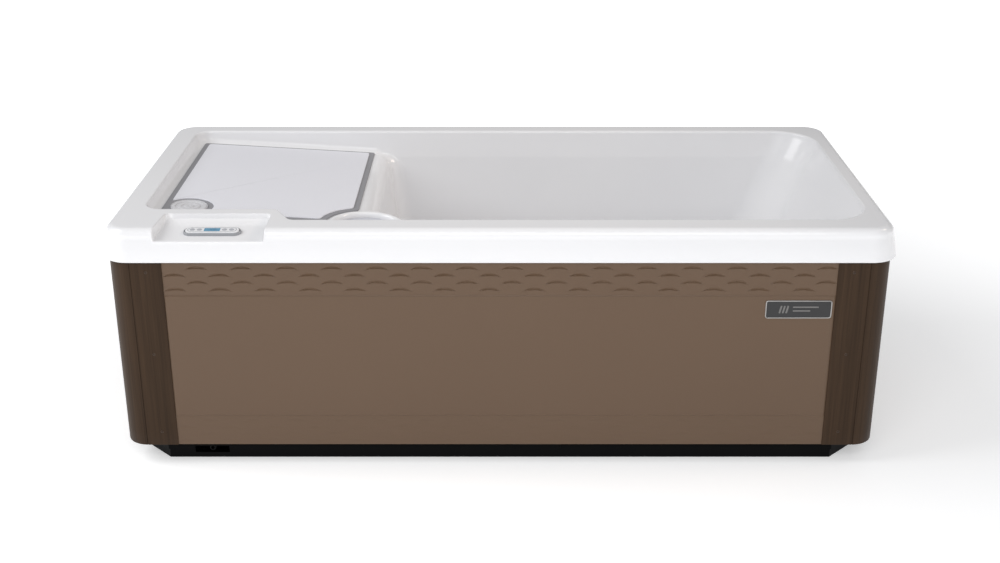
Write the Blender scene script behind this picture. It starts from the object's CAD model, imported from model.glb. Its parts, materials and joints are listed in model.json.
"""Looks of a one-person plunge tub with an inner step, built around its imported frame.

Shapes are worked out in millimetres in the frame's own axes: +X to the sloped backrest, +Y to the
rear, +Z up. put() writes them into meshes in metres.
"""
import json
import math

import bmesh
import bpy
import numpy as np
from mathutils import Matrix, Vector


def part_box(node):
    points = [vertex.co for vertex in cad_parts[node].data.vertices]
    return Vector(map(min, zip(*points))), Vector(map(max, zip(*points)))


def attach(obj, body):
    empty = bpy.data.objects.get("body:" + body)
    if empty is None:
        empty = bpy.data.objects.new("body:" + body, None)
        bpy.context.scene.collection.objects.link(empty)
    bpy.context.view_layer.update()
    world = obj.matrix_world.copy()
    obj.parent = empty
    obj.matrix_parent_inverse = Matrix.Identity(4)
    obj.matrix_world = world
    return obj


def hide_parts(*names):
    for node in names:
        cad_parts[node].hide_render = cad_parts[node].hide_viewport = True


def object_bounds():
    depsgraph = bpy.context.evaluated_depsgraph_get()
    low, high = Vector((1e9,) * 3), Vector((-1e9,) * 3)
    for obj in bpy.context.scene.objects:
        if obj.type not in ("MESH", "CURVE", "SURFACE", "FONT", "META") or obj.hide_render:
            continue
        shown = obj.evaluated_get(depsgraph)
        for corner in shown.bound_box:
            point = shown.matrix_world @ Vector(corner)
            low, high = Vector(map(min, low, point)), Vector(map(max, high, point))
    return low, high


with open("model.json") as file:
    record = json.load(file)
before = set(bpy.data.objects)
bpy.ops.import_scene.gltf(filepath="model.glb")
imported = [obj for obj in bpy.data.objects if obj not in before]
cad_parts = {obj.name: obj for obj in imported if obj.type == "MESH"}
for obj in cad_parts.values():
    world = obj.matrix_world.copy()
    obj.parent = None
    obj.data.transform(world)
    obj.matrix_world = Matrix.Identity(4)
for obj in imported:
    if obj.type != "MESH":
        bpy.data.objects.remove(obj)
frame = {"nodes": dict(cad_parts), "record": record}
cad_box = [list(corner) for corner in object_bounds()]

# ---------- driving sizes, millimetres ----------

MM = 0.001
half_l, half_w, height = (v / MM for v in cad_box[1])
rim_h, rim_inset, rim_edge_r, rim_corner_r = 90, 31.4, 20, 77
in_left, in_right = -half_l + 88, half_l - 64
in_front, in_rear = -half_w + 96, half_w - 80
shelf_y = in_front + 87
step_x = in_left + 571
shelf_x = step_x - 204
shelf_slant = 45
step_corner_r, well_rear_r, well_front_r = 48, 130, 115
wall_x = step_x + 51
floor_z = height - 605
crease_z = height - 100
step_tilt, step_draft, back_slope = (math.radians(a) for a in (3.4, 6.4, 21.6))
step_depth = 37
cab_x, cab_y = half_l - 12.5, half_w - 12.5
cab_z0, cab_z1 = 61, height - rim_h + 20
post_r, post_flange, post_t = 66, 85, 3
panel_t = 8
screw_in = post_r + post_flange / 2
filter_x, filter_y = step_x + 33, in_front + 148
well_r = 93
lip_r = well_r + 13
recess_x, recess_y = in_left + 209, -half_w + 138
recess_left, recess_right = in_left + 69, in_left + 356
recess_depth, recess_tilt = 19, math.radians(6)
vent_flange = 12
pod_l, pod_w, pod_h, pod_y = 156, 42, 9, 75
button_r, button_travel = 7, 1
button_at = (-53, -34, 33, 52)
display_l, display_w = 43, 18
field_t = 2
field_z0, field_z1 = cab_z0 + 93, height - rim_h - 100
face_x, face_y = cab_x - post_t + field_t, cab_y - post_t + field_t
pad_x0, pad_x1 = in_left + 23, step_x
pad_y0, pad_y1 = shelf_y + 67, in_rear - 18
pad_base_t, pad_top_t, pad_margin = 4, 3, 16
medallion_r, medallion_gap = 52, 17
medallion_pitch, medallion_relief = 17.3, 2.0
medallion_x, medallion_y = pad_x0 + 72, pad_y0 + 58


# ---------- small geometry helpers ----------

def smooth(t):
    """0 to 1 with level ends: 6t^5 - 15t^4 + 10t^3, held outside 0..1."""
    t = np.clip(t, 0, 1)
    return t * t * t * (t * (6 * t - 15) + 10)


def arc(cx, cy, r, a0, a1, n, end=False):
    """Points on a circle from a0 to a1 degrees: centre + r (cos a, sin a)."""
    a = np.radians(np.linspace(a0, a1, n, endpoint=end))
    return np.stack([cx + r * np.cos(a), cy + r * np.sin(a)], 1)


def line(a, b, n):
    """n points from a towards b, b left out."""
    return np.array(a) + (np.array(b) - np.array(a)) * np.linspace(0, 1, n, endpoint=False)[:, None]


def bend(a, b, c, r, n):
    """Round corner of radius r at b between the straights a-b and b-c, from tangent to tangent."""
    a, b, c = (np.array(p, float) for p in (a, b, c))
    u, v = (a - b) / np.linalg.norm(a - b), (c - b) / np.linalg.norm(c - b)
    half = math.acos(np.clip(u @ v, -1, 1)) / 2
    mid = (u + v) / np.linalg.norm(u + v)
    centre = b + mid * r / math.sin(half)
    p, q = b + u * r / math.tan(half) - centre, b + v * r / math.tan(half) - centre
    a0 = math.atan2(p[1], p[0])
    turn = (math.atan2(q[1], q[0]) - a0 + math.pi) % (2 * math.pi) - math.pi
    angle = a0 + turn * np.linspace(0, 1, n)
    return centre + r * np.stack([np.cos(angle), np.sin(angle)], 1)


def rounded(path, radii, n=8):
    """Closed path with each corner rounded by its own radius."""
    k = len(path)
    return np.concatenate([bend(path[i - 1], path[i], path[(i + 1) % k], radii[i], n) for i in range(k)])


def box_path(x0, x1, y0, y1):
    return [(x0, y0), (x1, y0), (x1, y1), (x0, y1)]


def stadium(l, w, n=24):
    """Straight sides with half-round ends."""
    r = w / 2
    return np.concatenate([arc(l / 2 - r, 0, r, -90, 90, n, True), arc(r - l / 2, 0, r, 90, 270, n, True)])


def inward(path):
    """Unit normals of a closed anticlockwise path, to its left."""
    step = np.roll(path, -1, 0) - np.roll(path, 1, 0)
    step /= np.linalg.norm(step, axis=1)[:, None] + 1e-9
    return np.stack([-step[:, 1], step[:, 0]], 1)


def up(path, z):
    """Plan points lifted to z."""
    return np.concatenate([path, np.full((len(path), 1), 0.0) + np.reshape(z, (-1, 1))], 1)


def loft(rows, closed=True, caps=(False, False)):
    """Surface over a grid: rows of points, each row joined to the next, capped at either end."""
    rows = np.asarray(rows, float)
    m, n = rows.shape[:2]
    i, j = np.meshgrid(np.arange(m - 1), np.arange(n if closed else n - 1), indexing="ij")
    k = (j + 1) % n
    quads = np.stack([i * n + j, i * n + k, (i + 1) * n + k, (i + 1) * n + j], -1).reshape(-1, 4)
    faces = quads.tolist()
    if caps[0]:
        faces.append(list(range(n))[::-1])
    if caps[1]:
        faces.append(list(range((m - 1) * n, m * n)))
    return rows.reshape(-1, 3), faces


def turned(profile, n=64):
    """Profile (r, z) carried round the Z axis: (r cos a, r sin a, z)."""
    p = np.asarray(profile, float)
    a = np.linspace(0, 2 * math.pi, n, endpoint=False)
    rows = [np.stack([r * np.cos(a), r * np.sin(a), np.full(n, z)], 1) for r, z in p]
    return loft(rows, caps=(p[0][0] > 0.01, p[-1][0] > 0.01))


def ringed(profile, n=96):
    """Closed profile (r, z) carried round the Z axis, such as a lip or a cup."""
    p = np.asarray(list(profile) + [profile[0]], float)
    a = np.linspace(0, 2 * math.pi, n, endpoint=False)
    return loft([np.stack([r * np.cos(a), r * np.sin(a), np.full(n, z)], 1) for r, z in p])


def plate(path, z0, z1, r, steps=5):
    """Flat slab over a closed plan, its top edge rounded by r: inset r (1 - cos a), rise r sin a. A
    narrow flat ring inside the rounding keeps the top level to the eye."""
    n_in = inward(path)
    rows = [up(path, z0), up(path, z1 - r)]
    for a in np.linspace(0, math.pi / 2, steps)[1:]:
        rows.append(up(path + n_in * r * (1 - math.cos(a)), z1 - r + r * math.sin(a)))
    if steps > 2:
        rows.append(up(path + n_in * (r + 0.6), z1))
    return loft(rows, caps=(True, True))


def framed(path, profile):
    """Closed profile (inset, z) carried along a closed plan, such as a bezel."""
    n_in = inward(path)
    return loft([up(path + n_in * d, z) for d, z in list(profile) + [profile[0]]])


def placed(part, matrix):
    """Part moved by a 3x4 matrix: turn, then shift."""
    v, f = part
    return v @ matrix[:, :3].T + matrix[:, 3], f


def turn(axis, angle):
    c, s = math.cos(angle), math.sin(angle)
    return {"x": np.array([[1, 0, 0], [0, c, -s], [0, s, c]]),
            "y": np.array([[c, 0, s], [0, 1, 0], [-s, 0, c]]),
            "z": np.array([[c, -s, 0], [s, c, 0], [0, 0, 1]])}[axis]


def at(rot, x, y, z):
    return np.concatenate([rot, np.array([[x], [y], [z]])], 1)


def on_step(x, y, lift=0.0):
    """Frame on the step's top: x down the slope, z out of it."""
    rot = turn("y", step_tilt)
    along = (x - in_left) / math.cos(step_tilt)
    p = rot @ np.array([along, 0, lift])
    return at(rot, in_left + p[0], y, height - step_depth + p[2])


def on_pod(x=0.0, lift=0.0):
    """Frame on the recess floor under the control pod."""
    rot = turn("x", recess_tilt)
    p = rot @ np.array([x, -pod_y, lift])
    return at(rot, recess_x + p[0], recess_y + p[1], height - recess_depth + p[2])


def wall_at(z):
    """X of the step's wall at height z."""
    return wall_x + (crease_z - z) * math.tan(step_draft)


def put(name, parts, paint, body="tub", replaces=(), sharp=38):
    """One mesh object from parts: doubles merged, faces outward, smooth but for edges over sharp degrees."""
    verts, faces, base = [], [], 0
    for v, f in parts:
        verts.append(np.asarray(v, float))
        faces += [[i + base for i in face] for face in f]
        base += len(v)
    mesh = bpy.data.meshes.new(name)
    mesh.from_pydata((np.concatenate(verts) * MM).tolist(), [], faces)
    piece = bpy.data.objects.new(name, mesh)
    bpy.context.scene.collection.objects.link(piece)
    tidy_mesh(mesh, sharp)
    mesh.materials.append(paint)
    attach(piece, body)
    if replaces:
        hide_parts(*replaces)
    return piece


def tidy_mesh(mesh, sharp):
    b = bmesh.new()
    b.from_mesh(mesh)
    bmesh.ops.remove_doubles(b, verts=b.verts, dist=2e-6)
    bmesh.ops.dissolve_degenerate(b, edges=b.edges, dist=1e-6)
    bmesh.ops.recalc_face_normals(b, faces=b.faces)
    limit = math.radians(sharp)
    for e in b.edges:
        e.smooth = len(e.link_faces) == 2 and e.calc_face_angle(0.0) < limit
    for f in b.faces:
        f.smooth = True
    b.to_mesh(mesh)
    b.free()


# ---------- finishes ----------

class Wire:
    """A shader value that takes part in sums: each operator adds its Math node."""

    def __init__(self, paint, socket):
        self.paint, self.socket = paint, socket

    def math(self, operation, a, b):
        return self.paint.node("ShaderNodeMath", {"operation": operation}, {0: a, 1: b})

    def __add__(self, other):
        return self.math("ADD", self, other)

    def __radd__(self, other):
        return self.math("ADD", other, self)

    def __sub__(self, other):
        return self.math("SUBTRACT", self, other)

    def __rsub__(self, other):
        return self.math("SUBTRACT", other, self)

    def __mul__(self, other):
        return self.math("MULTIPLY", self, other)

    def __rmul__(self, other):
        return self.math("MULTIPLY", other, self)


class Paint:
    """One finish. node() adds any shader node; shade() fills the surface's own sockets."""

    def __init__(self, name):
        self.mat = bpy.data.materials.new(name)
        self.mat.use_nodes = True
        self.tree = self.mat.node_tree
        self.tree.nodes.clear()
        self.out = self.tree.nodes.new("ShaderNodeOutputMaterial")
        self.skin = self.tree.nodes.new("ShaderNodeBsdfPrincipled")
        self.tree.links.new(self.skin.outputs[0], self.out.inputs[0])

    def feed(self, socket, value):
        if isinstance(value, Wire):
            self.tree.links.new(value.socket, socket)
        elif isinstance(value, tuple) and len(value) == 3 and socket.type == "RGBA":
            socket.default_value = (*value, 1)
        else:
            socket.default_value = value

    def node(self, kind, settings=None, values=None, out=0):
        n = self.tree.nodes.new(kind)
        for key, value in (settings or {}).items():
            setattr(n, key, value)
        for key, value in (values or {}).items():
            self.feed(n.inputs[key], value)
        return Wire(self, n.outputs[out])

    def place(self, stretch=(1, 1, 1)):
        """Object coordinates, stretched."""
        spot = self.node("ShaderNodeTexCoord", out="Object")
        return self.node("ShaderNodeMapping", {}, {"Vector": spot, "Scale": stretch})

    def noise(self, where, scale, detail=4.0, rough=0.5):
        values = {"Vector": where, "Scale": scale, "Detail": detail, "Roughness": rough}
        return self.node("ShaderNodeTexNoise", {}, values)

    def blend(self, mask, a, b):
        """Colour a where the mask is 0, b where it is 1."""
        return self.node("ShaderNodeMix", {"data_type": "RGBA"}, {0: mask, 6: a, 7: b}, out=2)

    def ramp(self, value, lo, hi):
        """0 at lo and 1 at hi."""
        return self.node("ShaderNodeMapRange", {}, {"Value": value, "From Min": lo, "From Max": hi})

    def bump(self, tall, distance, strength=1.0):
        return self.node("ShaderNodeBump", {}, {"Strength": strength, "Distance": distance, "Height": tall})

    def shade(self, **sockets):
        names = {"colour": "Base Color", "rough": "Roughness", "metal": "Metallic", "normal": "Normal",
                 "coat": "Coat Weight", "coat_rough": "Coat Roughness", "ior": "IOR",
                 "glow": "Emission Color", "glow_power": "Emission Strength", "sheen": "Sheen Weight",
                 "specular": "Specular IOR Level"}
        for key, value in sockets.items():
            self.feed(self.skin.inputs[names[key]], value)
        return self.mat


def tint(colour, factor):
    return tuple(min(1.0, c * factor) for c in colour)


def plain_finish(name, colour, rough=0.4, metal=0.0, scale=60.0, spread=0.12, relief=0.00008, specular=0.5):
    """Cloudy colour and roughness with a fine relief, for moulded, cast and painted parts."""
    p = Paint(name)
    where = p.place()
    broad = p.noise(where, scale * 0.15, 3.0)
    fine = p.noise(where, scale * 6, 5.0, 0.6)
    shade = p.blend(broad * 0.6 + fine * 0.4, tint(colour, 1 - spread), tint(colour, 1 + spread))
    return p.shade(colour=shade, rough=p.ramp(broad + fine, 0.0, 2.0) * (rough * 0.5) + rough * 0.75,
                   metal=metal, specular=specular, normal=p.bump(fine, relief))


def acrylic():
    """High-gloss white acrylic: a faint cloud in colour and a very slight waviness."""
    p = Paint("white_acrylic")
    where = p.place()
    cloud = p.noise(where, 2.5, 2.0)
    ripple = p.noise(where, 26.0, 2.0)
    micro = p.noise(where, 240.0, 3.0)
    colour = p.blend(cloud, (0.80, 0.80, 0.815), (0.83, 0.83, 0.84))
    return p.shade(colour=colour, rough=micro * 0.05 + 0.16, coat=0.2, coat_rough=0.08, ior=1.49,
                   normal=p.bump(ripple, 0.00012, 0.35))


def panel_skin():
    """Satin brown moulded sheet with a fine leathery grain."""
    p = Paint("brown_panel")
    where = p.place()
    grain = p.noise(where, 420.0, 4.0, 0.6)
    cloud = p.noise(where, 3.0, 3.0)
    colour = p.blend(grain * 0.7 + cloud * 0.3, (0.111, 0.066, 0.038), (0.134, 0.082, 0.048))
    return p.shade(colour=colour, rough=grain * 0.16 + 0.34, specular=0.4,
                   normal=p.bump(grain, 0.00018, 0.5))


def post_skin():
    """Dark brown wood grain embossed along the post's height."""
    p = Paint("grained_post")
    where = p.place((1, 1, 0.018))
    broad = p.noise(where, 70.0, 4.0, 0.6)
    fine = p.noise(p.place((1, 1, 0.01)), 420.0, 4.0, 0.65)
    mask = p.ramp(broad * 0.6 + fine * 0.4, 0.34, 0.66)
    colour = p.blend(mask, (0.026, 0.0135, 0.006), (0.054, 0.030, 0.0155))
    return p.shade(colour=colour, rough=fine * 0.2 + 0.38, specular=0.16,
                   normal=p.bump(fine * 0.6 + broad * 0.4, 0.0005, 0.5))


def pad_foam(name, colour, spread=0.05):
    """Brushed non-slip foam: short strokes along the tub's width."""
    p = Paint(name)
    where = p.place((1, 0.035, 1))
    strokes = p.noise(where, 330.0, 5.0, 0.7)
    specks = p.noise(p.place(), 900.0, 2.0)
    mask = strokes * 0.7 + specks * 0.3
    shade = p.blend(mask, tint(colour, 1 - spread), tint(colour, 1 + spread))
    return p.shade(colour=shade, rough=strokes * 0.1 + 0.62, normal=p.bump(mask, 0.0004, 0.6), sheen=0.15)


def brushed(name, colour, stretch=(0.03, 1, 1), rough=0.3):
    """Metal with hair-fine lines along X."""
    p = Paint(name)
    hair = p.noise(p.place(stretch), 900.0, 4.0, 0.6)
    shade = p.blend(hair, tint(colour, 0.85), tint(colour, 1.12))
    return p.shade(colour=shade, metal=1.0, rough=hair * 0.2 + rough - 0.1, normal=p.bump(hair, 0.00008, 0.4))


def sawn_wood():
    p = Paint("sawn_wood")
    rings = p.noise(p.place((1, 0.06, 1)), 60.0, 5.0, 0.6)
    shade = p.blend(rings, (0.33, 0.20, 0.10), (0.55, 0.37, 0.20))
    return p.shade(colour=shade, rough=0.75, normal=p.bump(rings, 0.0006, 0.5))


def lens_glow():
    """Backlit blue display."""
    p = Paint("blue_display")
    wash = p.noise(p.place(), 30.0, 1.0)
    blue = p.blend(wash, (0.06, 0.20, 0.32), (0.09, 0.27, 0.40))
    return p.shade(colour=blue, rough=wash * 0.05 + 0.08, coat=1.0, glow=blue, glow_power=0.25)


def pleated_cloth():
    p = Paint("filter_cloth")
    weave = p.noise(p.place(), 700.0, 3.0)
    shade = p.blend(weave, (0.62, 0.63, 0.62), (0.80, 0.81, 0.80))
    return p.shade(colour=shade, rough=0.9, normal=p.bump(weave, 0.0003, 0.6), sheen=0.3)


white = acrylic()
brown = panel_skin()
grain = post_skin()
foam_gray = pad_foam("gray_foam", (0.24, 0.24, 0.257))
foam_white = pad_foam("white_foam", (0.73, 0.735, 0.78), 0.03)
foam_light = plain_finish("light_foam", (0.60, 0.60, 0.62), 0.6, spread=0.04)
base_black = plain_finish("base_black", (0.0038, 0.0038, 0.004), 0.45, scale=120, specular=0.05)
screw_skin = plain_finish("screw_bronze", (0.06, 0.038, 0.025), 0.35, metal=0.6)
plate_metal = brushed("plate_metal", (0.42, 0.41, 0.40))
plate_gray = plain_finish("plate_gray", (0.17, 0.165, 0.16), 0.35, metal=0.3)
lens_dark = plain_finish("display_ink", (0.02, 0.09, 0.19), 0.3)
plate_black = plain_finish("plate_black", (0.018, 0.018, 0.019), 0.35, scale=200, spread=0.2)
pod_gray = plain_finish("pod_gray", (0.30, 0.31, 0.33), 0.30)
pod_white = plain_finish("pod_white", (0.76, 0.765, 0.78), 0.34, spread=0.03)
pod_seam = plain_finish("pod_seam", (0.06, 0.06, 0.065), 0.5)
button_skin = plain_finish("button_gray", (0.42, 0.43, 0.46), 0.45, spread=0.04)
lens = lens_glow()
pipe_white = plain_finish("pipe_white", (0.72, 0.73, 0.74), 0.28, spread=0.03)
lid_blue = plain_finish("lid_blue", (0.52, 0.53, 0.58), 0.30, spread=0.04)
steel = brushed("brushed_steel", (0.55, 0.55, 0.55))
aluminium = brushed("mill_aluminium", (0.68, 0.69, 0.70), (1, 0.03, 1), 0.38)
CAD_FINISHES = {
    "timber": sawn_wood(), "rail_metal": aluminium, "base_black": base_black,
    "panel_brown": brown, "post_brown": grain, "screw_bronze": screw_skin,
    "plate_metal": plate_metal, "plate_black": plate_black, "shell_white": white,
    "foam_board": plain_finish("foam_board", (0.62, 0.56, 0.36), 0.85, scale=300, spread=0.15, relief=0.0006),
    "pod_gray": pod_gray, "pod_white": pod_white, "lens_blue": lens,
    "circuit_green": plain_finish("circuit_green", (0.02, 0.14, 0.05), 0.35, scale=400, spread=0.4),
    "pad_gray": foam_gray, "pad_white": foam_white, "pad_light": foam_light,
    "pipe_white": pipe_white, "steel": steel,
    "pump_black": plain_finish("pump_black", (0.012, 0.012, 0.013), 0.5, relief=0.0002, specular=0.2),
    "motor_gray": plain_finish("motor_gray", (0.10, 0.10, 0.12), 0.45, metal=0.3, relief=0.0003),
    "motor_black": plain_finish("motor_black", (0.012, 0.012, 0.013), 0.28, metal=0.2),
    "box_gray": plain_finish("box_gray", (0.32, 0.33, 0.34), 0.42, metal=0.4),
    "coil_fins": brushed("coil_fins", (0.72, 0.72, 0.70), (1, 1, 0.04), 0.35),
    "fan_black": plain_finish("fan_black", (0.02, 0.02, 0.02), 0.45),
    "button_gray": button_skin, "filter_cloth": pleated_cloth(),
    "cap_blue": plain_finish("cap_blue", (0.02, 0.09, 0.32), 0.5),
    "lid_blue": lid_blue, "nozzle_gray": plain_finish("nozzle_gray", (0.30, 0.31, 0.33), 0.32),
    "impeller_tan": plain_finish("impeller_tan", (0.45, 0.33, 0.17), 0.5),
}


def dress_cad_nodes():
    """Every carried-over CAD node takes the finish of its material slot."""
    for entry in frame["record"]["subparts"]:
        node = frame["nodes"][entry["node"]]
        node.data.materials.clear()
        node.data.materials.append(CAD_FINISHES[entry["material_slot"]])


# ---------- the moulded shell ----------

CORNER_COLS = 36
REAR_LEFT, LEFT, FRONT_LEFT, FRONT_RIGHT, RIGHT, REAR_RIGHT = 3, 4, 5, 13, 14, 15
STEP_FIRST, STEP_END = 2, 11
NOSE_R = 50
BASE_R = 18
EDGE_R = 7
NOSE_RUN = NOSE_R * (math.sin(math.pi / 2 - step_draft) - math.sin(step_tilt))
NOSE_FALL = NOSE_R * (math.cos(step_tilt) - math.cos(math.pi / 2 - step_draft))


def step_z(x):
    """Height of the step's top, falling evenly from the left wall."""
    return height - step_depth - (x - in_left) * math.tan(step_tilt)


def nose_start():
    """X where the step's top turns into its nose, so that the arc ends on the step's wall."""
    x = step_x
    for _ in range(20):
        x = wall_at(step_z(x) - NOSE_FALL) - NOSE_RUN
    return x


nose_x = nose_start()
nose_z = step_z(nose_x)
top_z = height - EDGE_R
bend_z = height - 85


def lean(z):
    """How far a long wall has leaned in at height z: steeper above the crease than below it."""
    upper = np.clip(top_z - z, 0, top_z - bend_z) * 0.11
    return upper + np.clip(bend_z - z, 0, None) * 0.036


def rim_path():
    """Inner edge of the rim, anticlockwise from the rear right, and the columns of each stretch."""
    slant = [(in_left, shelf_y), (shelf_x, shelf_y), (shelf_x + shelf_slant, in_front), (nose_x, in_front)]
    s1, s2 = bend(*slant[:3], 20, 12), bend(*slant[1:], 24, 12)
    phi = np.radians(np.linspace(0, 90, 8, endpoint=False))
    near, far = recess_left + 8, recess_right - 17
    shelf = np.concatenate([np.linspace(in_left + step_corner_r, near, 34, endpoint=False),
                            np.linspace(near, far, 22, endpoint=False),
                            np.linspace(far, s1[0][0], 20, endpoint=False)])
    flat = lambda x, y: np.stack([x, np.full(len(x), y)], 1)
    r, r_rr, r_fr = step_corner_r, well_rear_r, well_front_r
    return [
        line((in_right - r_rr, in_rear), (nose_x + BASE_R, in_rear), 56),
        flat(nose_x + BASE_R * (1 - np.sin(phi)), in_rear),
        line((nose_x, in_rear), (in_left + r, in_rear), 40),
        arc(in_left + r, in_rear - r, r, 90, 180, CORNER_COLS),
        line((in_left, in_rear - r), (in_left, shelf_y + r), 36),
        arc(in_left + r, shelf_y + r, r, 180, 270, CORNER_COLS),
        flat(shelf, shelf_y), s1, line(s1[-1], s2[0], 7)[1:], s2,
        line(s2[-1], (nose_x, in_front), 20)[1:],
        flat(nose_x + BASE_R * (1 - np.cos(phi)), in_front),
        line((nose_x + BASE_R, in_front), (in_right - r_fr, in_front), 56),
        arc(in_right - r_fr, in_front + r_fr, r_fr, 270, 360, CORNER_COLS),
        line((in_right, in_front + r_fr), (in_right, in_rear - r_rr), 26),
        arc(in_right - r_rr, in_rear - r_rr, r_rr, 0, 90, CORNER_COLS),
    ]


def outer_path(stretches, edge):
    """Outer edge of the rim's flat top, column by column, with its outward normals."""
    x1, y1, r = half_l - rim_inset, half_w - rim_inset, rim_corner_r - rim_inset
    side = CORNER_COLS // 2 - 10

    def corner(a0, before, after):
        middle = math.radians(a0 + 45)
        cx, cy = (x1 - r) * np.sign(math.cos(middle)), (y1 - r) * np.sign(math.sin(middle))
        ring = arc(cx, cy, r, a0, a0 + 90, CORNER_COLS - 2 * side)
        end = arc(cx, cy, r, a0 + 90, a0 + 91, 1)[0]
        n_ring = arc(0, 0, 1, a0, a0 + 90, CORNER_COLS - 2 * side)
        points = np.concatenate([line(before, ring[0], side), ring, line(end, after, side)])
        n0, n1 = arc(0, 0, 1, a0, a0 + 1, 1), arc(0, 0, 1, a0 + 90, a0 + 91, 1)
        return points, np.concatenate([np.repeat(n0, side, 0), n_ring, np.repeat(n1, side, 0)])

    points, normals, start = [], [], 0
    for i, s in enumerate(stretches):
        e = edge[start:start + len(s)]
        after = edge[(start + len(s)) % len(edge)]
        start += len(s)
        if i == REAR_LEFT:
            p, n = corner(90, (e[0][0], y1), (-x1, after[1]))
        elif i == FRONT_LEFT:
            p, n = corner(180, (-x1, e[0][1]), (after[0], -y1))
        elif i == FRONT_RIGHT:
            p, n = corner(270, (e[0][0], -y1), (x1, after[1]))
        elif i == REAR_RIGHT:
            p, n = corner(0, (x1, e[0][1]), (after[0], y1))
        elif i in (LEFT, RIGHT):
            sx = -1 if i == LEFT else 1
            p = np.stack([np.full(len(s), sx * x1), e[:, 1]], 1)
            n = np.tile([float(sx), 0.0], (len(s), 1))
        else:
            sy = 1 if i < REAR_LEFT else -1
            p = np.stack([e[:, 0], np.full(len(s), sy * y1)], 1)
            n = np.tile([0.0, float(sy)], (len(s), 1))
        points.append(p)
        normals.append(n)
    return np.concatenate(points), np.concatenate(normals)


def well_outline(stretches, z, left=None, r_left=BASE_R):
    """Foot well's outline at height z, with the same columns as the rim's edge."""
    left = nose_x if left is None else left
    right = in_right - (top_z - z) * math.tan(back_slope)
    back, front = in_rear - float(lean(z)), in_front + float(lean(z))
    r_rr, r_fr = well_rear_r, well_front_r
    n = [len(s) for s in stretches]
    path = np.concatenate(stretches[STEP_FIRST:STEP_END])
    gone = np.concatenate([[0], np.cumsum(np.linalg.norm(np.diff(path, axis=0), axis=1))])
    share = gone / (gone[-1] + np.linalg.norm(path[-1] - stretches[STEP_END][0]))
    wall_y = back - r_left + (front - back + 2 * r_left) * share
    return np.concatenate([
        line((right - r_rr, back), (left + r_left, back), n[0]),
        arc(left + r_left, back - r_left, r_left, 90, 180, n[1]),
        np.stack([np.full(len(path), left), wall_y], 1),
        arc(left + r_left, front + r_left, r_left, 180, 270, n[STEP_END]),
        line((left + r_left, front), (right - r_fr, front), n[12]),
        arc(right - r_fr, front + r_fr, r_fr, 270, 360, n[FRONT_RIGHT]),
        line((right, front + r_fr), (right, back - r_rr), n[RIGHT]),
        arc(right - r_rr, back - r_rr, r_rr, 0, 90, n[REAR_RIGHT]),
    ])


def recess_share(p):
    """1 in the control recess and 0 outside: a steep wall around a box open to the front, its rear
    corners rounded by r, from the distance to that outline."""
    r, wall = 14, 6
    back = np.clip(recess_y - p[:, 1], 0, None)
    left, right = recess_left - 0.081 * back, recess_right - 0.014 * back
    dx = np.maximum(np.maximum(left + r - p[:, 0], p[:, 0] - right + r), 0)
    dy = np.maximum(p[:, 1] - recess_y + r, 0)
    return smooth(0.5 - (np.hypot(dx, dy) - r) / wall) * (p[:, 1] < 0)


def recess_floor(y):
    return height - recess_depth - np.clip(recess_y - y, 0, None) * math.tan(recess_tilt)


def rim_rows(outer, normal, edge):
    """Rim from its lip under the face, up the face, round the edge and across the flat."""
    face_a = math.atan2(rim_inset - rim_edge_r, rim_h - rim_edge_r)
    face_top = height - rim_edge_r - rim_edge_r * math.sin(face_a)
    edge_d = rim_edge_r * math.cos(face_a)
    low = height - rim_h + 2

    def face_d(z):
        t = (z - low) / (face_top - low)
        return rim_inset + (edge_d - rim_inset) * t + 1.4 * np.sin(math.pi * t)

    rows_a = [(rim_inset - 8, low + 22), (rim_inset - 8, low), (rim_inset - 7, low - 1.7),
              (rim_inset - 2, low - 2), (rim_inset - 0.5, low - 1.2)]
    rows_b = list(rows_a)
    small, lip_out = 3.0, 19.0
    dip_z = float(recess_floor(-(half_w - rim_inset) - lip_out)) - small
    for t in np.linspace(0, 1, 9):
        z = low + (face_top - low) * t
        rows_a.append((face_d(z), z))
        z = low + (dip_z - small * math.sin(face_a) - low) * t
        rows_b.append((face_d(z), z))
    reach = rows_b[-1][0] - small * math.cos(face_a)
    angles = np.linspace(-face_a, math.pi / 2, 12)[1:]
    for a in angles:
        rows_a.append((rim_edge_r * math.cos(a), height - rim_edge_r + rim_edge_r * math.sin(a)))
    for a in np.linspace(-face_a, math.pi / 2 - recess_tilt, 9)[1:]:
        rows_b.append((reach + small * math.cos(a), dip_z + small * math.sin(a)))
    for t in (0.35, 0.7, 1.0):
        d = reach * (1 - t)
        rows_b.append((d, float(recess_floor(-(half_w - rim_inset) - d))))
    rows = []
    for (da, za), (db, zb) in zip(rows_a, rows_b):
        pa, pb = outer + normal * da, outer + normal * db
        s = recess_share(pa)[:, None]
        rows.append(up(pa * (1 - s) + pb * s, za * (1 - s) + zb * s))
    cross = np.concatenate([[0.12, 0.26, 0.4, 0.54, 0.66, 0.72], np.linspace(0.745, 0.915, 24),
                            [0.94, 0.97, 1.0]])
    for t in cross:
        p = outer * (1 - t) + edge * t
        s = recess_share(p)
        rows.append(up(p, height - (height - recess_floor(p[:, 1])) * s))
    return rows, rows[-len(cross) - 1:]


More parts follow.
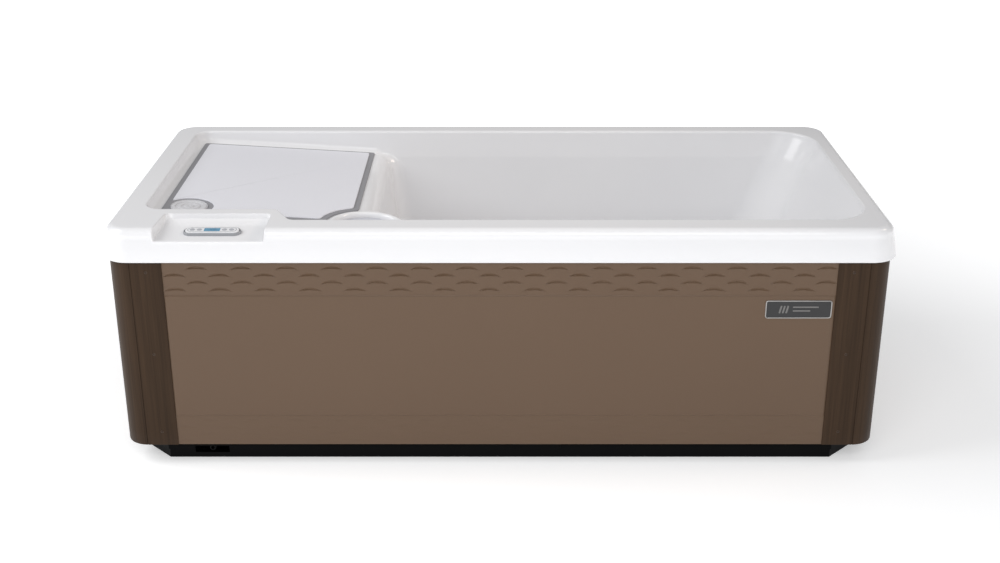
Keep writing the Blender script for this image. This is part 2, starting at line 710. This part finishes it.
def shell_grid():
    """All rows of the shell from the rim's lip to the middle of the floor, and its underside."""
    stretches = rim_path()
    top = np.concatenate(stretches)
    n_in = inward(top)
    edge = top - n_in * EDGE_R
    outer, normal = outer_path(stretches, edge)
    rows, flat = rim_rows(outer, normal, edge)
    for a in np.linspace(0, math.pi / 2, 8)[1:]:
        rows.append(up(top - n_in * EDGE_R * (1 - math.sin(a)), height - EDGE_R + EDGE_R * math.cos(a)))
    count = np.cumsum([0] + [len(s) for s in stretches])
    weight = np.zeros(len(top))
    weight[count[STEP_FIRST]:count[STEP_END]] = 1
    phi = np.linspace(0, 90, 8, endpoint=False)
    rear_turn = slice(count[STEP_FIRST - 1], count[STEP_FIRST])
    front_turn = slice(count[STEP_END], count[STEP_END + 1])
    weight[rear_turn] = 1 - np.cos(np.radians(phi))
    weight[front_turn] = 1 - np.sin(np.radians(phi))
    on_step_side = weight > 0
    slope = np.ones(len(top))
    ramp = smooth(np.linspace(0, 1, CORNER_COLS))
    slope[count[REAR_LEFT]:count[LEFT]] += 2.0 * ramp
    slope[count[LEFT]:count[FRONT_LEFT]] = 3.0
    slope[count[FRONT_LEFT]:count[FRONT_LEFT + 1]] += 2.0 * ramp[::-1]
    plane_z = np.where(on_step_side, step_z(top[:, 0]), nose_z)
    plane_z[rear_turn] = nose_z
    plane_z[front_turn] = nose_z

    def wall_point(z):
        """Wall above the step's level: the rim's edge leaned in, or the well's outline."""
        leaned = top + n_in * (lean(z) * slope)[:, None]
        levels = np.unique(np.round(z[~on_step_side], 4))
        out = leaned.copy()
        for level in levels:
            pick = (~on_step_side) & (np.abs(z - level) < 1e-3)
            out[pick] = well_outline(stretches, level)[pick]
        return out

    for t in np.linspace(0, 1, 6)[1:]:
        z = top_z + (plane_z + BASE_R - top_z) * t
        rows.append(up(wall_point(z), z))
    upper = rows[-1]
    for a in np.linspace(0, math.pi / 2, 8)[1:]:
        z = plane_z + BASE_R * (1 - math.sin(a))
        p = wall_point(z) + n_in * (BASE_R * weight * (1 - math.cos(a)))[:, None]
        z = np.where(weight == 1, step_z(p[:, 0]) + BASE_R * (1 - math.sin(a)), z)
        foot = up(p, z)
        rows.append(foot)
    nose = well_outline(stretches, nose_z)
    for t in (0.25, 0.5, 0.75, 0.92, 1.0):
        p = foot[:, :2] * (1 - t) + nose * t
        z = np.where(weight == 1, step_z(p[:, 0]), nose_z)
        rows.append(up(p, z))
    plane = rows[-1]
    turn_a, turn_b = step_tilt, math.pi / 2 - step_draft
    for t in np.linspace(0, 1, 14)[1:]:
        a = turn_a + (turn_b - turn_a) * t
        z = nose_z - NOSE_R * (math.cos(turn_a) - math.cos(a))
        x = nose_x + NOSE_R * (math.sin(a) - math.sin(turn_a))
        rows.append(up(well_outline(stretches, z, x, BASE_R + 28 * t), z))
    under_nose = rows[-1]
    low_r = 60
    z1 = rows[-1][0][2]
    for t in np.linspace(0, 1, 9)[1:]:
        z = z1 + (floor_z + low_r - z1) * t
        rows.append(up(well_outline(stretches, z, wall_at(z), BASE_R + 28), z))
    foot_ring = rows[-1]
    n_low = inward(foot_ring[:, :2])
    for a in np.linspace(0, math.pi / 2, 9)[1:]:
        p = foot_ring[:, :2] + n_low * low_r * 0.6 * (1 - math.cos(a))
        rows.append(up(p, floor_z + low_r * (1 - math.sin(a))))
    floor_ring = rows[-1]
    middle = np.array([(foot_ring[:, 0].max() + foot_ring[:, 0].min()) / 2, 0])
    for k in (0.8, 0.4):
        rows.append(up(middle + (floor_ring[:, :2] - middle) * k, floor_z))
    return rows, dict(flat=flat, top=top, n_in=n_in, upper=upper, foot=foot, plane=plane,
                      nose=under_nose, low=foot_ring, n_low=n_low, floor=floor_ring, normal=normal,
                      outer=outer, last=rows[-1])


def underside(g):
    """Back of the shell, a wall's thickness behind its face, from the floor's middle to the lip."""
    t = 8
    drop = np.array([0, 0, -t])
    side = lambda rows, n: rows - np.concatenate([n * t, np.zeros((len(n), 1))], 1)
    n_nose = inward(g["nose"][:, :2])
    back = [g["last"] + drop, g["floor"] + drop, side(g["low"], g["n_low"]), side(g["nose"], n_nose),
            g["plane"] + drop * 1.4, g["foot"] + drop * 1.4, side(g["upper"], g["n_in"]) + drop * 0.5,
            up(g["top"] - g["n_in"] * t, height - 16)]
    back += [g["flat"][k] + drop for k in (-2, -4, 7, 4, 0)]
    lip_top = up(g["outer"] + g["normal"] * 10, 0)
    lip_top[:, 2] = g["flat"][0][:, 2] - 14
    back.append(lip_top)
    return back


def make_shell():
    rows, guide = shell_grid()
    part = loft(underside(guide) + rows, caps=(True, True))
    shell = put("tub_skin", [part], white, replaces=("tub_shell",), sharp=50)
    cutter = put("filter_cutter", [placed(turned([(lip_r - 6, -300), (lip_r - 6, 60)], 128),
                                          on_step(filter_x, filter_y))], white)
    cut = shell.modifiers.new("filter_opening", "BOOLEAN")
    cut.operation, cut.solver, cut.object = "DIFFERENCE", "EXACT", cutter
    settle(shell)
    bpy.data.objects.remove(cutter)
    return shell


def settle(piece):
    """Modifiers taken into the mesh, so that none stays on the piece."""
    graph = bpy.context.evaluated_depsgraph_get()
    mesh = bpy.data.meshes.new_from_object(piece.evaluated_get(graph))
    piece.modifiers.clear()
    piece.data = mesh


# ---------- cabinet ----------

PITCH = 120.6
PITCH_SHIFT = 209
ARC_HALF = 32.5
ARC_TALL = 12
SCALE_DROP = 20.8


def scales(u, z, first, deep):
    """Four staggered rows of scooped scale marks. Each deepens steadily downwards and ends sharply at
    its arched lower edge: -deep (1 - s^2)^0.5 (1 - v)^1.2 for s across the arc and v up it."""
    h = np.zeros_like(u)
    for k in range(4):
        s = ((u + PITCH_SHIFT + (PITCH / 2) * (1 + k % 2)) % PITCH - PITCH / 2) / ARC_HALF
        arch = 1 - np.clip(np.abs(s), 0, 1) ** 2
        v = (z - first + k * SCALE_DROP + 4 * (1 - arch)) / (ARC_TALL * arch + 1e-6)
        drop = np.clip(v / 0.2, 0, 1)
        h -= np.where((v > 0) & (v < 1), deep * np.sqrt(arch) * (1 - np.clip(v, 0, 1)) ** 1.2 * drop, 0)
    return h


def panel(name, reach, flat, paint, to_world, pitch_mm=3.3):
    """Pressed sheet: a raised field between two patterned bands, its relief worked out at each point
    of a grid u by z, closed at the back."""
    u = np.concatenate([[-reach], np.arange(-flat, flat + 1, pitch_mm), [reach]])
    z = np.concatenate([
        [cab_z0, cab_z0 + 1], np.linspace(cab_z0 + 4, field_z0 - 5, 32),
        field_z0 + np.array([-2.5, -0.8, 0, 1, 2.5]), np.linspace(field_z0 + 20, field_z1 - 20, 5),
        field_z1 + np.array([-3.4, -1.8, -0.7, 0, 0.8, 2.5]),
        np.linspace(field_z1 + 5, height - rim_h, 62), [cab_z1 - 1, cab_z1]])
    uu, zz = np.meshgrid(u, z)
    field = smooth((zz - field_z0 + 1.2) / 2.4) * smooth((field_z1 + 1.4 - zz) / 4.2)
    groove = 0.8 * np.exp(-((zz - field_z1 - 2) / 0.9) ** 2)
    groove += 0.6 * np.exp(-((zz - field_z0 + 2.0) / 0.8) ** 2)
    marks = scales(uu, zz, height - rim_h - 22, 5.0) + scales(uu, zz, cab_z0 + 75, 1.4)
    inside = smooth((flat - 1 - np.abs(uu)) / 3)
    h = (field_t * field + marks - groove) * inside
    h[0], h[-1] = -1, -1
    front = np.stack([uu, zz, h], -1)
    back = lambda row: np.stack([u, np.full(len(u), z[row]), np.full(len(u), -panel_t)], -1)[None]
    grid = np.concatenate([back(0), front, back(-1)])
    m, n = grid.shape[:2]
    i, j = np.meshgrid(np.arange(m), np.arange(n - 1), indexing="ij")
    k = (i + 1) % m
    faces = np.stack([i * n + j, i * n + j + 1, k * n + j + 1, k * n + j], -1).reshape(-1, 4).tolist()
    faces += [list(range(0, m * n, n)), list(range(n - 1, m * n, n))]
    verts = to_world(grid.reshape(-1, 3))
    return put(name + "_sheet", [(verts, faces)], paint, replaces=(name,), sharp=30)


def make_panels():
    long_reach, end_reach = cab_x - post_r - 12, cab_y - post_r - 12
    long_flat, end_flat = cab_x - post_r - post_flange, cab_y - post_r - post_flange
    px, py = cab_x - post_t, cab_y - post_t
    long_side = lambda sign: lambda g: np.stack([g[:, 0], sign * (py + g[:, 2]), g[:, 1]], 1)
    end_side = lambda sign: lambda g: np.stack([sign * (px + g[:, 2]), g[:, 0], g[:, 1]], 1)
    panel("front_panel", long_reach, long_flat, brown, long_side(-1))
    panel("rear_panel", long_reach, long_flat, brown, long_side(1))
    panel("right_panel", end_reach, end_flat, brown, end_side(1))
    left = panel("left_panel", end_reach, end_flat, brown, end_side(-1))
    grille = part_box("vent_grille")
    (y0, z0), (y1, z1) = [(v.y / MM, v.z / MM) for v in grille]
    edge = vent_flange
    path = np.array(box_path(y0 + edge, y1 - edge, z0 + edge, z1 - edge), float)
    cutter = put("vent_cutter", [placed(loft([up(path, -px - 40), up(path, -px + 40)], caps=(True, True)),
                                        at(np.array([[0, 0, 1], [1, 0, 0], [0, 1, 0]]), 0, 0, 0))], brown)
    cut = left.modifiers.new("vent_opening", "BOOLEAN")
    cut.operation, cut.solver, cut.object = "DIFFERENCE", "EXACT", cutter
    settle(left)
    bpy.data.objects.remove(cutter)


def post_section():
    """Post's plan in its own quarter: flange, groove, round corner, groove, flange, and back inside."""
    fx, fy = cab_x - post_r - post_flange, cab_y - post_r - post_flange
    r, t, deep = post_r, post_t, 1.44
    tip = lambda x, y, a0, a1: arc(x, y, t / 2, a0, a1, 8, True)
    groove_a = [(cab_x - r + 2.2, cab_y), (cab_x - r + 1.8, cab_y - deep),
                (cab_x - r + 0.2, cab_y - deep), (cab_x - r - 0.2, cab_y)]
    groove_b = [(cab_x, cab_y - r - 0.2), (cab_x - deep, cab_y - r + 0.2),
                (cab_x - deep, cab_y - r + 1.8), (cab_x, cab_y - r + 2.2)]
    round_out = arc(cab_x - r, cab_y - r, r, 2, 88, 26, True)
    return np.concatenate([
        tip(cab_x - t / 2, fy + t / 2, 180, 360), [(cab_x, cab_y - r - 12)], groove_b, round_out, groove_a,
        [(cab_x - r - 12, cab_y)], tip(fx + t / 2, cab_y - t / 2, 90, 270),
        arc(cab_x - r, cab_y - r, r - t, 90, 0, 20, True)])


def make_posts():
    section = post_section()
    n_in = inward(section)
    levels = [(cab_z0, 0.7), (cab_z0 + 0.3, 0.3), (cab_z0 + 1, 0.0)]
    levels += [(z, 0.0) for z in np.linspace(cab_z0 + 40, cab_z1 - 1, 12)] + [(cab_z1, 0.4)]
    part = loft([up(section + n_in * d, z) for z, d in levels], caps=(True, True))
    for end, sx in (("left", -1), ("right", 1)):
        for side, sy in (("front", -1), ("rear", 1)):
            mirror = np.array([[sx, 0, 0, 0], [0, sy, 0, 0], [0, 0, 1, 0]], float)
            put(f"{side}_{end}_post_trim", [placed(part, mirror)], grain, replaces=(f"{side}_{end}_post",),
                sharp=35)


def screw_head():
    """Domed head with a cross recess: height over polar points, less the two arms of the cross."""
    r, a = np.meshgrid(np.array([0.01, 0.5, 0.9, 1.4, 1.9, 2.4, 3.0, 3.6, 4.1, 4.45, 4.5]),
                       np.linspace(0, 2 * math.pi, 32, endpoint=False), indexing="ij")
    x, y = r * np.cos(a), r * np.sin(a)
    arm = lambda p, q: smooth((0.75 - np.abs(p)) / 0.4) * smooth((2.3 - np.abs(q)) / 0.4)
    z = 1.9 - 0.075 * r ** 2 - 1.1 * np.maximum(arm(x, y), arm(y, x))
    z[-1] = -0.5
    return loft(np.stack([x, y, z], -1), caps=(True, True))


def make_screws():
    head, parts = screw_head(), []
    levels = [cab_z0 + 42, (cab_z0 + height - rim_h) / 2 + 4, height - rim_h - 32]
    for z in levels:
        for sx in (-1, 1):
            for sy in (-1, 1):
                on_long = at(turn("x", -sy * math.pi / 2), sx * (cab_x - screw_in), sy * cab_y, z)
                on_end = at(turn("y", sx * math.pi / 2), sx * cab_x, sy * (cab_y - screw_in), z)
                parts += [placed(head, on_long), placed(head, on_end)]
    put("post_screw_heads", parts, screw_skin, replaces=("post_screws",), sharp=30)


def make_nameplate():
    """Bezel and dark face with a plain row of bars in place of a mark."""
    lo, hi = (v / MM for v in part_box("nameplate_frame"))
    x, z, l, w = (lo.x + hi.x) / 2, (lo.z + hi.z) / 2, hi.x - lo.x, hi.z - lo.z
    seat = at(turn("x", math.pi / 2), x, -face_y, z)
    outline = rounded(box_path(-l / 2, l / 2, -w / 2, w / 2), [8] * 4)
    ridge = [(0, -1), (0, 1.2), (0.5, 2.3), (1.4, 2.9), (2.2, 2.9), (3.1, 2.3), (3.5, 1.2), (3.5, -1)]
    put("nameplate_bezel", [placed(framed(outline, ridge), seat)], plate_metal,
        replaces=("nameplate_frame",))
    inner = rounded(box_path(3 - l / 2, l / 2 - 3, 3 - w / 2, w / 2 - 3), [5.5] * 4)
    put("nameplate_dark_face", [placed(plate(inner, -1, 1.3, 0.3), seat)], plate_black,
        replaces=("nameplate_face",))
    bars = []
    for k in range(3):
        bar = [(-54 + 9 * k, -11), (-49 + 9 * k, -11), (-44 + 9 * k, 11), (-49 + 9 * k, 11)]
        bars.append(placed(plate(rounded(bar, [1.5] * 4, 4), 1.2, 2.0, 0.3), seat))
    for y, end in ((-6, 32), (5, 54)):
        bar = rounded(box_path(-16, end, y, y + 4), [1.8] * 4, 4)
        bars.append(placed(plate(bar, 1.2, 2.0, 0.3), seat))
    put("nameplate_bars", bars, plate_gray)


# ---------- step pad ----------

def pad_outline(m, notch):
    """Plan of a pad layer drawn in by m: a box less the filter's circle and, when notched, less the
    medallion's circle, as even points whose corners are eased by averaging neighbours."""
    x0, x1, y0, y1 = pad_x0 + m, pad_x1 - m, pad_y0 + m, pad_y1 - m
    big = lip_r + 12 + m
    low = math.degrees(math.atan2(y0 - filter_y, -math.sqrt(big ** 2 - (y0 - filter_y) ** 2)))
    high = math.degrees(math.atan2(math.sqrt(big ** 2 - (x1 - filter_x) ** 2), x1 - filter_x))
    cut = arc(filter_x, filter_y, big, low % 360, high, 60, True)
    if notch:
        r = medallion_r + medallion_gap
        a0 = math.degrees(math.atan2(math.sqrt(r ** 2 - (x0 - medallion_x) ** 2), x0 - medallion_x))
        a1 = math.degrees(math.atan2(y0 - medallion_y, math.sqrt(r ** 2 - (y0 - medallion_y) ** 2)))
        start = arc(medallion_x, medallion_y, r, a0, a1, 70, True)
    else:
        start = np.array([(x0, y0)])
    path = np.concatenate([start, cut, [(x1, y1), (x0, y1)]])
    path = np.concatenate([path, path[:1]])
    gone = np.concatenate([[0], np.cumsum(np.linalg.norm(np.diff(path, axis=0), axis=1))])
    even = np.arange(0, gone[-1], 2.5)
    pts = np.stack([np.interp(even, gone, path[:, k]) for k in (0, 1)], 1)
    for _ in range(2):
        pts = sum(np.roll(pts, k, 0) for k in range(-3, 4)) / 7
    return pts


def on_step_plan(path):
    """Plan points turned into the step's own sloping frame."""
    return np.stack([(path[:, 0] - in_left) / math.cos(step_tilt), path[:, 1]], 1)


def make_pad():
    seat = on_step(in_left, 0)
    low = plate(on_step_plan(pad_outline(0, False)), 0, pad_base_t, 1.2)
    border = put("step_pad_border", [placed(low, seat)], foam_gray, replaces=("pad_base",))
    top = plate(on_step_plan(pad_outline(pad_margin, True)), pad_base_t - 0.5, pad_base_t + pad_top_t, 1.2)
    tread = put("step_pad_tread", [placed(top, seat)], foam_white, replaces=("pad_top",))
    disc = put("step_pad_medallion", [placed(medallion(), on_step(medallion_x, medallion_y, pad_base_t))],
               foam_light, replaces=("pad_medallion",))


def medallion():
    """Round tread with plain ring ribs: a height at each radius, high where cos(2 pi r / pitch) is."""
    radius = np.concatenate([[0.01], np.linspace(1, medallion_r - 1, 110)])
    groove = smooth(0.5 - 2.6 * np.cos(2 * math.pi * radius / medallion_pitch + math.pi))
    z = pad_top_t - medallion_relief * groove
    profile = np.stack([radius, z], 1)
    edge = [(medallion_r - 0.3, pad_top_t - 0.3), (medallion_r, pad_top_t - 1), (medallion_r, -0.4)]
    return turned(np.concatenate([profile, edge]), 96)


# ---------- filter ----------

def make_filter():
    seat = on_step(filter_x, filter_y)
    r, w = lip_r, well_r
    lip = [(w, -4), (w + 0.6, 0.5), (w + 2.6, 4), (w + 6, 5.8), (w + 9, 6), (r + 2, 4.6), (r + 6, 2.4),
           (r + 9.5, 0.9), (r + 11.4, 0.2), (r + 11.4, -0.8), (r + 4, -9), (r, -15)]
    put("filter_cup", [placed(ringed(lip + [(r, -308), (21.4, -308), (21.4, -300), (w, -300)], 128), seat)],
        white, replaces=("filter_ring",), sharp=50)
    e = w - 1.2
    cover = [(0, -11.8), (e - 2, -11.8), (e, -11), (e, -9.8), (e - 0.8, -9), (e - 2.4, -8.7), (e - 4, -9),
             (e - 7, -9.8), (e - 11, -10.2), (e - 18, -10.3), (34, -9.2), (28, -8.2), (25, -6.2), (23, 0.5),
             (21, 2.4), (17, 3), (0, 3)]
    disc = turned([(max(p, 0.005), q) for p, q in cover], 96)
    put("filter_cover", [placed(disc, seat)], lid_blue, body="lid", replaces=("filter_lid",),
        sharp=50)


# ---------- control pod ----------

def make_pod():
    seat = on_pod()
    ridge = [(0, -0.5), (0.1, 2.6), (0.9, 5.2), (2.0, 6.6), (3.0, 7.0), (3.6, 6.6), (3.8, 5.6), (3.8, -0.5)]
    put("pod_bezel", [placed(framed(stadium(pod_l, pod_w), ridge), seat)], pod_gray,
        replaces=("control_bezel",))
    face = placed(plate(stadium(pod_l - 11, pod_w - 11), 1, pod_h, 2.2), seat)
    put("pod_face", [face], pod_white, replaces=("control_face",))
    seam = [(3.6, 1), (3.6, 5.4), (5.7, 5.4), (5.7, 1)]
    put("pod_seam", [placed(framed(stadium(pod_l, pod_w), seam), seat)], pod_seam)
    bead = [(0, 8.8), (0.2, 9.2), (0.8, 9.35), (1.4, 9.2), (1.6, 8.8)]
    outline = stadium(pod_l - 24, pod_w - 17)
    put("pod_outline", [placed(framed(outline, bead), seat)], pod_gray)
    window = rounded(box_path(-display_l / 2, display_l / 2, -display_w / 2, display_w / 2), [2] * 4, 4)
    put("display_window", [placed(plate(window, 7, pod_h + 0.35, 0.3), seat)], lens,
        replaces=("display_lens",))
    figures = [placed(part, seat) for part in digits("125", 5.6, 10.5)]
    put("display_digits", figures, lens_dark)
    keys = ("power", "colder", "warmer", "light")
    for icon, (key, x) in enumerate(zip(keys, button_at)):
        top, r = pod_h + button_travel, button_r
        cap = [(0, 5.2), (3, 5.2), (3, 7.3), (r, 7.3), (r, top - 1.2), (r - 0.4, top - 0.6),
               (r - 1.3, top - 0.25), (r - 3, top - 0.1), (0, top - 0.05)]
        parts = [turned([(max(p, 0.005), q) for p, q in cap], 40)] + key_mark(icon, top - 0.2)
        put(key + "_cap", [placed(part, on_pod(x)) for part in parts], button_skin,
            body=key + "_key", replaces=(key + "_button",))


def key_mark(kind, z):
    """Small raised mark on a key: ring, arrow down, arrow up or dot."""
    if kind in (1, 2):
        s = 1 if kind == 2 else -1
        path = np.array([(-3.4, -1.6), (0, 1.2), (3.4, -1.6), (3.4, 0.2), (0, 3.0), (-3.4, 0.2)]) * (1, s)
        return [plate(path if s > 0 else path[::-1], z - 0.2, z + 0.2, 0.1, 2)]
    inner = 2.2 if kind == 0 else 0.8
    ring = ringed([(inner, -0.2), (inner, 0.2), (inner + 1, 0.2), (inner + 1, -0.2)], 24)
    return [placed(ring, at(np.eye(3), 0, 0, z))]


SEGMENTS = {"1": "bc", "2": "abged", "5": "afgcd"}


def digits(text, wide, tall):
    """Seven-segment figures as thin raised bars."""
    t, parts = 1.2, []
    for k, figure in enumerate(text):
        x = (k - (len(text) - 1) / 2) * wide * 1.5
        h, w = tall / 2, wide / 2
        spots = {"a": (0, h, 1), "g": (0, 0, 1), "d": (0, -h, 1), "b": (w, h / 2, 0), "c": (w, -h / 2, 0),
                 "f": (-w, h / 2, 0), "e": (-w, -h / 2, 0)}
        for key in SEGMENTS[figure]:
            sx, sy, flat = spots[key]
            half_x, half_y = (w - t / 2, t / 2) if flat else (t / 2, h / 2 - t / 2)
            bar = box_path(x + sx - half_x, x + sx + half_x, sy - half_y, sy + half_y)
            parts.append(plate(np.array(bar, float), pod_h + 0.2, pod_h + 0.5, 0.05, 2))
    return parts


# ---------- the scene ----------

def light(name, size, power, place, aim, colour=(1, 1, 1), size_y=None):
    data = bpy.data.lights.new(name, "AREA")
    data.shape = "RECTANGLE"
    data.size, data.size_y, data.energy, data.color = size, size_y or size, power, colour
    lamp = bpy.data.objects.new(name, data)
    bpy.context.scene.collection.objects.link(lamp)
    lamp.location = place
    lamp.rotation_euler = (Vector(aim) - Vector(place)).to_track_quat("-Z", "Y").to_euler()
    return lamp


def make_stage():
    mesh = bpy.data.meshes.new("floor")
    s = 30.0
    mesh.from_pydata([(-s, -s, 0), (s, -s, 0), (s, s, 0), (-s, s, 0)], [], [(0, 1, 2, 3)])
    floor = bpy.data.objects.new("floor", mesh)
    bpy.context.scene.collection.objects.link(floor)
    p = Paint("pale_floor")
    spot = p.node("ShaderNodeTexCoord", out="Object")
    away = p.node("ShaderNodeVectorMath", {"operation": "LENGTH"}, {0: spot}, out="Value")
    shine = p.ramp(away, 1.5, 3.4)
    glow = p.blend(shine, (0.37, 0.37, 0.37), (0.80, 0.80, 0.80))
    mesh.materials.append(p.shade(colour=(0.90, 0.90, 0.90), rough=0.9, specular=0.1,
                                  glow=glow, glow_power=1.0))
    world = bpy.data.worlds.new("studio")
    bpy.context.scene.world = world
    world.use_nodes = True
    sky = world.node_tree.nodes["Background"]
    sky.inputs[0].default_value = (0.965, 0.975, 1, 1)
    sky.inputs[1].default_value = 0.395
    light("left_key", 3.0, 120, (-4.2, -0.8, 3.6), (0, 0, 0.5))
    light("front_fill", 3.0, 41, (0.1, -3.0, 2.2), (0, 0, 0.5), size_y=1.5)
    warm = light("step_fill", 0.8, 2.4, (2.5, 0, 2.6), (-0.4, 0, 0.6), colour=(1, 0.86, 0.74))
    warm.data.spread = math.radians(50)
    bpy.context.scene.view_settings.view_transform = "Standard"


def make_camera():
    data = bpy.data.cameras.new("camera")
    data.lens, data.sensor_width = 50.12, 36
    camera = bpy.data.objects.new("camera", data)
    bpy.context.scene.collection.objects.link(camera)
    camera.location = (0, -3.944, 1.975)
    camera.rotation_euler = (math.radians(90 - 22.355), 0, 0)
    bpy.context.scene.camera = camera


make_camera()
make_stage()
dress_cad_nodes()
make_shell()
make_panels()
make_posts()
make_screws()
make_nameplate()
make_pad()
make_filter()
make_pod()
